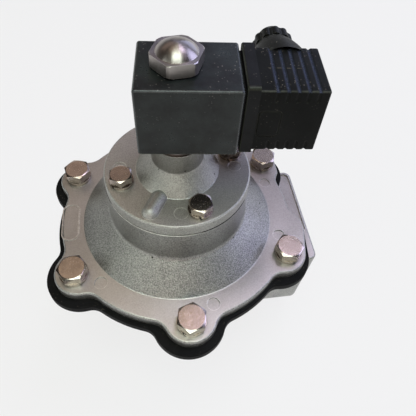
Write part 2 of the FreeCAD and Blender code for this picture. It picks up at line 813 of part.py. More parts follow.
def coil_nut():
    z1 = coil_z2 + nut_seal_t
    z2 = z1 + nut_hex_h
    hexed = hexagon(nut_af, z1, z2, 0, 0, 6.5 - coil_yaw)
    trim = turned([(0, z1), (nut_corner_r - 0.5, z1), (nut_corner_r, z1 + 0.4),
                   (nut_corner_r, z2 - 0.3), (nut_corner_r - 0.35, z2), (0, z2)])
    dome_r = nut_af / 2 - nut_dome_in
    cap_r = (dome_r ** 2 + nut_dome_h ** 2) / (2 * nut_dome_h)
    ball = Part.makeSphere(cap_r, V(0, 0, z2 + nut_dome_h - cap_r))
    cap = ball.common(cyl(dome_r, z2 - 0.2, z2 + nut_dome_h + 1))
    shape = fuse_all([hexed.common(trim), cap])
    return shape.cut(cyl(stud_r + thread_fit, z1 - 1, stud_top + 0.5))


# Coil and its plug, drawn square to the coil and turned with it.

def with_coil(shape):
    turned_shape = shape.copy()
    turned_shape.rotate(O, Z, coil_yaw)
    return turned_shape


def blade_boxes(x1, x2, grow_w, grow_t):
    """The two line blades stand upright, the earth blade lies across, low down."""
    w = blade_w / 2 + grow_w
    t = blade_t / 2 + grow_t
    low = plug_mid - earth_blade_down
    mid = plug_mid + line_blade_up
    blades = [box(x1, x2, s * blade_y - t, s * blade_y + t, mid - w, mid + w) for s in (-1, 1)]
    blades.append(box(x1, x2, -w, w, low - t, low + t))
    return blades


def coil():
    shape = box(-coil_back, coil_reach, -coil_half, coil_half, coil_z1, coil_z2)
    shape = shape.makeFillet(coil_edge, shape.Edges)
    tools = [cyl(coil_bore_r, coil_z1 - 1, coil_z2 + 1)]
    tools.append(rod_x(screw_r + thread_fit, coil_reach - screw_in - 1, coil_reach + 1, 0, plug_mid))
    tools += blade_boxes(coil_reach - blade_in, coil_reach + 1, 0, 0)
    return cut_all(shape, tools)


def coil_terminals():
    return Part.makeCompound(blade_boxes(coil_reach - blade_in, coil_reach + blade_out, 0, 0))


def plug_gasket():
    inset = 1.6
    lip = box(coil_reach, collar_from, -collar_half + inset, collar_half - inset,
              collar_z1 + 2 * inset, collar_z2 - 2 * inset)
    collar = box(collar_from, collar_x, -collar_half, collar_half, collar_z1, collar_z2)
    collar = round_edges(collar, 2.0, lambda e: along(e, X) and e.BoundBox.YMax < 0)
    collar = round_edges(collar, 0.9, lambda e: e.BoundBox.XMax < collar_from + 0.1
                         or along(e, X) and e.BoundBox.YMin > 0)
    shape = fuse_all([lip, collar])
    tools = blade_boxes(coil_reach - 1, collar_x + 1, 0.4, 0.4)
    tools.append(rod_x(screw_r + 0.5, coil_reach - 1, collar_x + 1, 0, plug_mid))
    return cut_all(shape, tools)


def finger(r, z, stop, x, y):
    """Upright cutter with a round end at stop."""
    way = 1 if stop > z else -1
    rows = [V(0, 0, z - way * 2), V(r, 0, z - way * 2), V(r, 0, stop)]
    tip = V(0, 0, stop + way * r)
    mid = V(r * math.sqrt(0.5), 0, stop + way * r * math.sqrt(0.5))
    sides = [Part.makeLine(rows[0], rows[1]), Part.makeLine(rows[1], rows[2]),
             Part.Arc(rows[2], mid, tip).toShape(), Part.makeLine(tip, rows[0])]
    shape = Part.Face(Part.Wire(sides)).revolve(O, Z, 360)
    shape.translate(V(x, y, 0))
    return shape


def housing_grooves():
    tools = []
    out = groove_r - groove_depth
    side = housing_half + groove_r - groove_end_depth
    for i in range(groove_count):
        x = collar_x + groove_start + groove_pitch * i
        for z, way in ((housing_z1, 1), (housing_z2, -1)):
            tools.append(rod_y(groove_r, -side, side, x, z - way * out))
            for y in (-side, side):
                tools.append(finger(groove_r, z, z + way * groove_end_len, x, y))
    return tools


def gland_neck():
    base_y = housing_half - 2
    foot = Part.makeCircle(neck_base_r, V(gland_x + neck_base_side, base_y, gland_z), Y)
    tip = Part.makeCircle(neck_tip_r, V(gland_x, gland_neck_y, gland_z), Y)
    cone = Part.makeLoft([Part.Wire([foot]), Part.Wire([tip])], True, True)
    stub = rod_y(stub_r, gland_neck_y - 1, gland_stub_y, gland_x, gland_z)
    return cone.fuse(stub)


def is_ridge_edge(edge):
    if not along(edge, Y) or edge.BoundBox.XMax > housing_x2 - 1.5:
        return False
    return edge.BoundBox.XMin > collar_x + 1 and (at_height(edge, housing_z1) or at_height(edge, housing_z2))


def housing_outside():
    shape = box(collar_x, housing_x2, -housing_half, housing_half, housing_z1, housing_z2)
    shape = round_edges(shape, 0.8, lambda e: e.BoundBox.XMin > housing_x2 - 0.1)
    for tool in housing_grooves():
        shape = shape.cut(tool)
    shape = round_edges(shape, ridge_round, is_ridge_edge)
    x1 = collar_x + panel_start
    mid = plug_mid - panel_drop
    panel = box(x1, x1 + panel_w, -housing_half - 0.5, -housing_half + 1,
                mid - panel_h / 2, mid + panel_h / 2)
    panel = round_edges(panel, 1.6, lambda e: along(e, Y))
    return fuse_all([shape, panel, gland_neck()])


def screw_under():
    return housing_x2 - screw_sink - screw_head_h


def plug_housing():
    w = housing_wall
    room = box(collar_x - 1, housing_x2 - w - 1, -housing_half + w, housing_half - w,
               housing_z1 + w, housing_z2 - w)
    mast = rod_x(screw_head_r + 1.3, insert_x2, housing_x2, 0, plug_mid)
    shape = cut_all(housing_outside(), [room.cut(mast)])
    tools = [rod_x(screw_r + 0.2, collar_x, housing_x2 + 1, 0, plug_mid)]
    tools.append(rod_x(screw_head_r + 0.2, screw_under(), housing_x2 + 1, 0, plug_mid))
    tools.append(rod_y(grommet_r, gland_neck_y - 1.5, gland_stub_y + 1, gland_x, gland_z))
    tools.append(rod_y(cable_r + 1, housing_half - w - 1, gland_neck_y, gland_x, gland_z))
    return cut_all(shape, tools)


def contact_blocks(x1, x2):
    """Outlines of the three sockets, each round its own blade."""
    h = blade_w / 2 + contact_wall
    w = blade_w / 2 + contact_wall / 2
    t = blade_t / 2 + 1.6
    mid = plug_mid + line_blade_up
    low = plug_mid - earth_blade_down
    blocks = [box(x1, x2, s * blade_y - t, s * blade_y + t, mid - h, mid + h) for s in (-1, 1)]
    blocks.append(box(x1, x2, -w, w, low - t, low + t))
    return blocks


def plug_insert():
    inset = housing_wall + insert_play
    half = housing_half - inset
    block = box(collar_x, insert_x2, -half, half, housing_z1 + inset, housing_z2 - inset)
    tools = contact_blocks(collar_x - 1, insert_x2 + 1)
    tools.append(rod_x(screw_r + 0.2, collar_x - 1, insert_x2 + 1, 0, plug_mid))
    return cut_all(block, tools)


def plug_contacts():
    x1 = collar_x + 0.8
    blocks = contact_blocks(x1, insert_x2)
    slots = blade_boxes(x1 - 1, insert_x2 + 1, 0, 0)
    return Part.makeCompound([b.cut(s) for b, s in zip(blocks, slots)])


def plug_screw():
    under = screw_under()
    top = housing_x2 - screw_sink
    head = rod_x(screw_head_r, under, top, 0, plug_mid)
    shank = rod_x(screw_r, coil_reach - screw_in, under + 1, 0, plug_mid)
    slot = box(top - 1.2, top + 1, -0.5, 0.5, plug_mid - 4, plug_mid + 4)
    return fuse_all([head, shank]).cut(slot)


def gland_grommet():
    ring = rod_y(grommet_r, gland_neck_y - 1.5, gland_stub_y, gland_x, gland_z)
    return ring.cut(rod_y(cable_r, 0, gland_end_y, gland_x, gland_z))


def gland_washer():
    ring = rod_y(grommet_r, gland_stub_y, gland_stub_y + gland_washer_t, gland_x, gland_z)
    return ring.cut(rod_y(cable_r + 0.6, 0, gland_end_y, gland_x, gland_z))


def gland_nut():
    y1 = gland_neck_y + gland_gap
    scallop_r = 2.2
    shapes = [rod_y(gland_nut_r - 0.6, y1, gland_band_y, gland_x, gland_z)]
    for i in range(gland_lobes):
        p = polar(gland_nut_r - scallop_r, 360.0 / gland_lobes * i)
        shapes.append(rod_y(scallop_r, y1, gland_band_y, gland_x + p.x, gland_z + p.y))
    shapes.append(Part.makeCone(gland_nut_r - 0.8, gland_nut_r - 3.0, gland_dome_len,
                                V(gland_x, gland_band_y, gland_z), Y))
    tools = [rod_y(stub_r + thread_fit, y1 - 1, gland_stub_y, gland_x, gland_z)]
    tools.append(rod_y(grommet_r + 0.1, y1 - 1, gland_stub_y + gland_washer_t, gland_x, gland_z))
    tools.append(rod_y(cable_r + 1.0, y1 - 1, gland_end_y + 1, gland_x, gland_z))
    return cut_all(fuse_all(shapes), tools)


STRAIGHT = {
    "valve_body": valve_body,
    "main_diaphragm": main_diaphragm,
    "main_top_plate": main_top_plate,
    "main_low_plate": main_low_plate,
    "centre_bolt": centre_bolt,
    "centre_nut": centre_nut,
    "main_spring": main_spring,
    "main_cover": main_cover,
    "flange_bolts": flange_bolts,
    "flange_spring_washers": flange_spring_washers,
    "pilot_diaphragm": pilot_diaphragm,
    "pilot_plate": pilot_plate,
    "pilot_rivet": pilot_rivet,
    "pilot_spring": pilot_spring,
    "pilot_cover": pilot_cover,
    "pilot_bolts": pilot_bolts,
    "pilot_spring_washers": pilot_spring_washers,
    "armature_tube": armature_tube,
    "fixed_core": fixed_core,
    "plunger": plunger,
    "plunger_seal": plunger_seal,
    "plunger_spring": plunger_spring,
    "lower_coil_seal": lower_coil_seal,
    "nut_seal_ring": nut_seal_ring,
}

WITH_COIL = {
    "coil_nut": coil_nut,
    "coil": coil,
    "coil_terminals": coil_terminals,
    "plug_gasket": plug_gasket,
    "plug_housing": plug_housing,
    "plug_insert": plug_insert,
    "plug_contacts": plug_contacts,
    "plug_screw": plug_screw,
    "gland_grommet": gland_grommet,
    "gland_washer": gland_washer,
    "gland_nut": gland_nut,
}


def save(name, shape):
    if not shape.isValid():
        shape = shape.removeSplitter()
    solids = shape.Solids
    box_now = shape.BoundBox
    print("%-22s solids %d valid %s volume %.1f z %.2f..%.2f" % (
        name, len(solids), shape.isValid(), shape.Volume, box_now.ZMin, box_now.ZMax))
    shape.exportStep("parts/%s.step" % name)


def main():
    os.makedirs("parts", exist_ok=True)
    for name, make in STRAIGHT.items():
        save(name, make())
    for name, make in WITH_COIL.items():
        save(name, with_coil(make()))


main()
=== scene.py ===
import math

import bpy
from mathutils import Matrix, Vector
from mathutils.geometry import tessellate_polygon


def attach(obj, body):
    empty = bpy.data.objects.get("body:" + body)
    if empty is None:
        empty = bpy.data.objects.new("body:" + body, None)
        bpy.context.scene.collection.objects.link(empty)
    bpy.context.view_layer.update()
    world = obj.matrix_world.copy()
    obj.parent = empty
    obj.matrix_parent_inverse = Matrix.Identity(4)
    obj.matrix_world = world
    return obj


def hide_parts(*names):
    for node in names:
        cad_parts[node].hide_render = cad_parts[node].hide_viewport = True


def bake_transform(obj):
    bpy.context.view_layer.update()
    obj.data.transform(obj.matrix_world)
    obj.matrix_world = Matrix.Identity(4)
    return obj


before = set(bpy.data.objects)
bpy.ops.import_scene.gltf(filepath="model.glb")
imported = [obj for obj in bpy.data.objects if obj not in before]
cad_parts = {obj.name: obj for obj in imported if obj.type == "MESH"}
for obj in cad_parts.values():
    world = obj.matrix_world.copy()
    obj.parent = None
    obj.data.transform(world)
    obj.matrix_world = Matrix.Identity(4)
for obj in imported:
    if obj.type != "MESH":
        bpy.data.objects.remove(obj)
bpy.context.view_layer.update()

scene = bpy.context.scene

# Camera. It stands above and a little to the left of the valve, at the height from which
# the photo was taken. The angles are azimuth, elevation and roll in degrees, the place is in metres.
CAMERA_AZIMUTH = math.radians(-11.136)
CAMERA_ELEVATION = math.radians(51.216)
CAMERA_ROLL = math.radians(4.076)
CAMERA_PLACE = Vector((-0.013449, -0.141148, 0.289542))
IMAGE_SIZE = 416
FOCAL_PIXELS = 441.11
AXIS_PIXEL = (205.18, 185.39)
SENSOR_MM = 36.0

level = math.cos(CAMERA_ELEVATION)
back = Vector((math.sin(CAMERA_AZIMUTH) * level, -math.cos(CAMERA_AZIMUTH) * level,
               math.sin(CAMERA_ELEVATION)))
flat_right = Vector((math.cos(CAMERA_AZIMUTH), math.sin(CAMERA_AZIMUTH), 0))
flat_up = back.cross(flat_right)
right = flat_right * math.cos(CAMERA_ROLL) + flat_up * math.sin(CAMERA_ROLL)
up = flat_up * math.cos(CAMERA_ROLL) - flat_right * math.sin(CAMERA_ROLL)
camera_data = bpy.data.cameras.new("camera")
camera_data.sensor_width = SENSOR_MM
camera_data.lens = FOCAL_PIXELS * SENSOR_MM / IMAGE_SIZE
camera_data.shift_x = 0.5 - AXIS_PIXEL[0] / IMAGE_SIZE
camera_data.shift_y = AXIS_PIXEL[1] / IMAGE_SIZE - 0.5
camera_data.clip_start = 0.01
camera_data.clip_end = 20
camera_data.dof.use_dof = False
camera = bpy.data.objects.new("camera", camera_data)
camera.matrix_world = (Matrix.Translation(CAMERA_PLACE)
                       @ Matrix((right, up, back)).transposed().to_4x4())
scene.collection.objects.link(camera)
scene.camera = camera
scene.view_settings.view_transform = "Standard"


# Valve body, main cover and pilot cover: die castings in an aluminium-silicon alloy, shot-blasted
# and left bare. The three are screwed together with the rubber sheets between them.

def linear(text):
    """Linear colour from a hex sRGB string."""
    out = []
    for i in (0, 2, 4):
        c = int(text[i:i + 2], 16) / 255.0
        out.append(c / 12.92 if c <= 0.04045 else ((c + 0.055) / 1.055) ** 2.4)
    return (*out, 1.0)


def add(tree, kind, feeds=None, out=0, **settings):
    """Adds a shader node with its settings, links or sets its inputs and gives back one output. The
    inputs of a colour Mix are 0 for the share of the second colour, 6 for the first and 7 for the second."""
    node = tree.nodes.new("ShaderNode" + kind)
    for key, value in settings.items():
        setattr(node, key, value)
    for key, value in (feeds or {}).items():
        if isinstance(value, bpy.types.NodeSocket):
            tree.links.new(value, node.inputs[key])
        else:
            node.inputs[key].default_value = value
    return node.outputs[out] if len(node.outputs) else node


def per_metre(mm):
    """Scale of a pattern whose features are that many millimetres wide."""
    return 1000.0 / mm


def blank_material(name):
    """An empty material, its tree and the place on the piece in metres."""
    material = bpy.data.materials.new(name)
    material.use_nodes = True
    material.node_tree.nodes.clear()
    return material, material.node_tree, add(material.node_tree, "TexCoord", out="Object")


def worn_and_highlit_edges(t, width_mm, gain):
    """1 on outer edges and 0 elsewhere, from how far a rounded normal leaves the true one. The materials
    lighten these edges for wear and as a painted highlight.
    """
    soft = add(t, "Bevel", {"Radius": width_mm / 1000.0}, samples=6)
    true = add(t, "NewGeometry", out="True Normal")
    dot = add(t, "VectorMath", {0: soft, 1: true}, out="Value", operation="DOT_PRODUCT")
    away = add(t, "Math", {0: 1.0, 1: dot}, operation="SUBTRACT")
    return add(t, "Math", {0: away, 1: gain}, operation="MULTIPLY", use_clamp=True)


def finish_nodes(names, material):
    """Puts one material on the CAD pieces of these names."""
    for name in names:
        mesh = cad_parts[name].data
        mesh.materials.clear()
        mesh.materials.append(material)


# the neck's turned part starts at this height in metres, with a short change to it; there it gets a painted
# shadow of the coil
TURNED_FROM, TURNED_FADE = 0.1357, 0.0004


def blasted_aluminium(name, slope_low, slope_high, flat_low, flat_high, slope_glints, flat_glints,
                      flat_polish, slope_rough, turned_from=None):
    """Grey with a sandy sparkle on the slopes, painted into the colour as bright glints and dark facets,
    smoother and pinker on the flats, partly as painted warm light on what faces up, with dark pores, dirt
    and painted shade in corners, broken bright edges that are partly wear and partly a painted highlight,
    and, when given a height, a painted shadow of the coil on the neck's turned part. Real blasted grain is
    0.3 mm wide; it is drawn 0.6 mm wide to show."""
    material, t, spot = blank_material(name)
    upward = add(t, "SeparateXYZ", {0: add(t, "NewGeometry", out="Normal")}, out="Z")
    flat = add(t, "MapRange", {"Value": upward, "From Min": 0.93, "From Max": 0.99})
    grain = add(t, "TexNoise", {"Vector": spot, "Scale": per_metre(0.6), "Detail": 2.0, "Roughness": 0.7})
    mottle = add(t, "TexNoise", {"Vector": spot, "Scale": per_metre(9), "Detail": 4.0, "Roughness": 0.65})
    cloud = add(t, "TexNoise", {"Vector": spot, "Scale": per_metre(45), "Detail": 2.0})
    patches = add(t, "MapRange", {"Value": mottle, "From Min": 0.35, "From Max": 0.65})
    slope_grey = add(t, "Mix", {0: patches, 6: linear(slope_low), 7: linear(slope_high)}, out=2,
                     data_type="RGBA")
    drift = add(t, "MapRange", {"Value": cloud, "From Min": 0.35, "From Max": 0.65})
    flat_grey = add(t, "Mix", {0: drift, 6: linear(flat_low), 7: linear(flat_high)}, out=2,
                    data_type="RGBA")
    # the flats, which face up, get a brighter and pinker grey: partly their smoother finish, partly painted
    # warm light from above
    tone = add(t, "Mix", {0: flat, 6: slope_grey, 7: flat_grey}, out=2, data_type="RGBA")
    # each grain is painted as a darker facet or a bright glint, a painted sparkle, and the slopes show more
    # of them
    glints = add(t, "MapRange", {"Value": grain, "From Min": 0.34, "From Max": 0.68})
    glint_grey = add(t, "Mix", {0: glints, 6: linear("3d3e3f"), 7: linear("e6e6e0")}, out=2,
                     data_type="RGBA")
    share = add(t, "MapRange", {"Value": flat, "To Min": slope_glints, "To Max": flat_glints})
    tone = add(t, "Mix", {0: share, 6: tone, 7: glint_grey}, out=2, data_type="RGBA")
    if turned_from is not None:
        # painted shadow of the coil: the turned part is darkened
        height = add(t, "SeparateXYZ", {0: spot}, out="Z")
        turned = add(t, "MapRange", {"Value": height, "From Min": turned_from,
                                     "From Max": turned_from + TURNED_FADE, "To Max": 0.5})
        tone = add(t, "Mix", {0: turned, 6: tone, 7: linear("5d5c54")}, out=2, data_type="RGBA")
    # gas pores of about 0.8 mm, in loose groups
    cell = add(t, "TexVoronoi", {"Vector": spot, "Scale": per_metre(4)}, out="Distance")
    pore = add(t, "MapRange", {"Value": cell, "From Min": 0.15, "From Max": 0.08})
    group = add(t, "TexNoise", {"Vector": spot, "Scale": per_metre(7), "Detail": 1.0})
    group = add(t, "MapRange", {"Value": group, "From Min": 0.58, "From Max": 0.66})
    pore = add(t, "Math", {0: pore, 1: group}, operation="MULTIPLY")
    fewer = add(t, "MapRange", {"Value": flat, "To Min": 1.0, "To Max": 0.15})
    pore = add(t, "Math", {0: pore, 1: fewer}, operation="MULTIPLY")
    tone = add(t, "Mix", {0: pore, 6: tone, 7: linear("2b2a28")}, out=2, data_type="RGBA")
    # soil and painted shade held in corners: darker where the AO node finds the surface hemmed in
    sky = add(t, "AmbientOcclusion", {"Distance": 0.004}, out="AO", samples=16)
    soil_and_shade = add(t, "MapRange", {"Value": sky, "From Min": 0.72, "From Max": 0.35, "To Max": 0.65})
    uneven = add(t, "MapRange", {"Value": patches, "To Min": 0.45})
    soil_and_shade = add(t, "Math", {0: soil_and_shade, 1: uneven}, operation="MULTIPLY")
    tone = add(t, "Mix", {0: soil_and_shade, 6: tone, 7: linear("4b473d")}, out=2, data_type="RGBA")
    # outer edges rubbed bright and lit by a painted highlight, in lengths of about 2 mm
    edge_breakup = add(t, "TexNoise", {"Vector": spot, "Scale": per_metre(2.2), "Detail": 3.0, "Roughness": 0.7})
    edge_breakup = add(t, "MapRange", {"Value": edge_breakup, "From Min": 0.42, "From Max": 0.58, "To Min": 0.4})
    edge = add(t, "Math", {0: worn_and_highlit_edges(t, width_mm=0.5, gain=11.0), 1: edge_breakup}, operation="MULTIPLY")
    tone = add(t, "Mix", {0: edge, 6: tone, 7: linear("f2f1ec")}, out=2, data_type="RGBA")
    # the flats are a little smoother and the grain bites less there
    rough = add(t, "MapRange", {"Value": grain, "From Min": 0.3, "From Max": 0.7,
                                "To Min": slope_rough, "To Max": slope_rough + 0.18})
    rough = add(t, "Math", {0: flat, 1: -flat_polish, 2: rough}, operation="MULTIPLY_ADD")
    relief = add(t, "Math", {0: grain, 1: pore}, operation="SUBTRACT")
    bite = add(t, "MapRange", {"Value": flat, "To Min": 0.8, "To Max": 0.25})
    sandy = add(t, "Bump", {"Height": relief, "Strength": bite, "Distance": 0.0003})
    wavy = add(t, "Bump", {"Height": mottle, "Strength": 0.2, "Distance": 0.0003, "Normal": sandy})
    shader = add(t, "BsdfPrincipled", {"Base Color": tone, "Metallic": 0.88, "Roughness": rough,
                                       "Normal": wavy})
    add(t, "OutputMaterial", {"Surface": shader})
    return material


finish_nodes(["valve_body", "main_cover"], blasted_aluminium(
    "blasted_aluminium", slope_low="898a88", slope_high="9c9d9a", flat_low="a7a29e", flat_high="c0bbb6",
    slope_glints=0.43, flat_glints=0.14, flat_polish=0.02, slope_rough=0.3))
finish_nodes(["pilot_cover"], blasted_aluminium(
    "blasted_pilot_cover", slope_low="a6a7a2", slope_high="b6b6b1", flat_low="a9a5a0",
    flat_high="bcb8b2", slope_glints=0.34, flat_glints=0.22, flat_polish=0.06, slope_rough=0.38,
    turned_from=TURNED_FROM))


# Joint of the pilot cover: the black edge of its rubber bulges out on the right and at the far left,
# and in front of it the barrel's lip keeps a burr from turning, coloured near white as a painted highlight.
# Lengths in millimetres.

JOINT_RADIUS = 35.45
RUBBER_LOW, RUBBER_HIGH, RUBBER_BULGE = 120.12, 120.84, 0.3
BURR_LOW, BURR_HIGH, BURR_BULGE = 120.05, 120.35, 0.28
# points across the strip, the power that keeps it thick until near its ends, and the height left there
BEAD_POINTS = 6
BEAD_TAPER = 8
BEAD_END_SHARE = 0.05


def mesh_object(name, points, faces, material):
    """A mesh of these points in metres and these faces, in the scene and with its material."""
    mesh = bpy.data.meshes.new(name)
    mesh.from_pydata(points, [], faces)
    mesh.materials.append(material)
    piece = bpy.data.objects.new(name, mesh)
    scene.collection.objects.link(piece)
    return piece


def joint_bead(name, first_deg, last_deg, low, high, bulge, material):
    """Half-round strip in the joint, which thins out towards both of its ends."""
    steps = int(last_deg - first_deg)
    points, faces = [], []
    for i in range(steps + 1):
        turn = math.radians(first_deg + i)
        thick = math.sqrt(max(0.0, 1 - (2 * i / steps - 1) ** BEAD_TAPER))
        for k in range(BEAD_POINTS):
            lean = math.radians(-90 + 180 * k / (BEAD_POINTS - 1))
            r = JOINT_RADIUS + bulge * thick * math.cos(lean)
            z = (low + high) / 2 + (high - low) / 2 * max(thick, BEAD_END_SHARE) * math.sin(lean)
            points.append(Vector((r * math.cos(turn), r * math.sin(turn), z)) / 1000.0)
    for i in range(steps):
        a, b = BEAD_POINTS * i, BEAD_POINTS * (i + 1)
        for k in range(BEAD_POINTS):
            n = (k + 1) % BEAD_POINTS
            faces.append((a + k, b + k, b + n, a + n))
    last = BEAD_POINTS * steps
    faces += [tuple(range(BEAD_POINTS)), tuple(reversed(range(last, last + BEAD_POINTS)))]
    strip = mesh_object(name, points, faces, material)
    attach(strip, "valve")


# the burr's near-white colour is a painted highlight
burr_painted_highlight = blasted_aluminium(
    "burr_painted_highlight", slope_low="d5d4ce", slope_high="efeee8", flat_low="d5d4ce", flat_high="efeee8",
    slope_glints=0.3, flat_glints=0.3, flat_polish=0.0, slope_rough=0.3)
joint_bead("lip_burr", 203, 280, BURR_LOW, BURR_HIGH, BURR_BULGE, burr_painted_highlight)


# Threads of the inlet and the outlet: parallel pipe threads cut with a tap, so the metal is bare and
# bright. Each is one ridge wound along the bore, which fades out at both ends. Lengths in metres.

THREAD_PITCH = 0.002309
THREAD_RADIUS = 0.02253
THREAD_DEPTH = 0.0011
THREAD_LENGTH = 0.0195
THREAD_START = 0.0012
# half widths of the ridge at its foot and at its crest, and the height at which it fades out
FOOT_HALF = THREAD_PITCH * 0.44
CREST_HALF = FOOT_HALF * 0.15
END_HEIGHT = 0.0001
RIDGE_POINTS = 4
STEPS_A_TURN = 60
FADE_STEPS = 25


def wind_thread(name, face, inward, side, material):
    """Ridge inside a port whose face centre and inward direction are given."""
    other = inward.cross(side)
    count = int(THREAD_LENGTH / THREAD_PITCH * STEPS_A_TURN)
    points, faces = [], []
    for i in range(count + 1):
        angle = 2 * math.pi * i / STEPS_A_TURN
        out = side * math.cos(angle) + other * math.sin(angle)
        along = THREAD_START + THREAD_PITCH * i / STEPS_A_TURN
        rise = THREAD_DEPTH * min(1.0, i / FADE_STEPS, (count - i) / FADE_STEPS)
        crest_radius = THREAD_RADIUS - END_HEIGHT - rise
        for radius, shift in ((THREAD_RADIUS, -FOOT_HALF), (crest_radius, -CREST_HALF),
                              (crest_radius, CREST_HALF), (THREAD_RADIUS, FOOT_HALF)):
            points.append(face + out * radius + inward * (along + shift))
    for i in range(count):
        a, b = RIDGE_POINTS * i, RIDGE_POINTS * (i + 1)
        for k in range(RIDGE_POINTS):
            n = (k + 1) % RIDGE_POINTS
            faces.append((a + k, a + n, b + n, b + k))
    faces.append(tuple(reversed(range(RIDGE_POINTS))))
    faces.append(tuple(RIDGE_POINTS * count + k for k in range(RIDGE_POINTS)))
    ridge = mesh_object(name, points, faces, material)
    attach(ridge, "valve")


def tapped_aluminium():
    """Bright cut metal, smooth between faint tool lines."""
    material, t, spot = blank_material("tapped_aluminium")
    streak = add(t, "TexNoise", {"Vector": spot, "Scale": per_metre(1.5), "Detail": 2.0})
    tone = add(t, "Mix", {0: streak, 6: linear("a8a6a3"), 7: linear("c9c7c4")}, out=2, data_type="RGBA")
    rough = add(t, "MapRange", {"Value": streak, "To Min": 0.24, "To Max": 0.38})
    shader = add(t, "BsdfPrincipled", {"Base Color": tone, "Metallic": 1.0, "Roughness": rough})
    add(t, "OutputMaterial", {"Surface": shader})
    return material


cut_metal = tapped_aluminium()
INLET_FACE = Vector((0.074, 0, 0.048))
OUTLET_FACE = Vector((0, 0, 0))
wind_thread("inlet_thread", INLET_FACE, Vector((-1, 0, 0)), Vector((0, 0, 1)), cut_metal)
wind_thread("outlet_thread", OUTLET_FACE, Vector((0, 0, 1)), Vector((1, 0, 0)), cut_metal)


# Main and pilot diaphragms, and the seals: nitrile rubber with a fabric inside, pressed in a mould.
# The rims are clamped between the castings and show as a dull black lip.

def block_edges(tree, yaw):
    """1 on the rounded edges of an upright block turned by yaw, 0 on its flat faces."""
    normal = add(tree, "NewGeometry", out="Normal")
    normal = add(tree, "VectorRotate", {"Vector": normal, "Angle": -yaw}, rotation_type="Z_AXIS")
    normal = add(tree, "VectorMath", {0: normal}, operation="ABSOLUTE")
    x = add(tree, "SeparateXYZ", {0: normal}, out="X")
    y = add(tree, "SeparateXYZ", {0: normal}, out="Y")
    z = add(tree, "SeparateXYZ", {0: normal}, out="Z")
    most = add(tree, "Math", {0: x, 1: y}, operation="MAXIMUM")
    most = add(tree, "Math", {0: most, 1: z}, operation="MAXIMUM")
    return add(tree, "MapRange", {"Value": most, "From Min": 0.985, "From Max": 0.86})


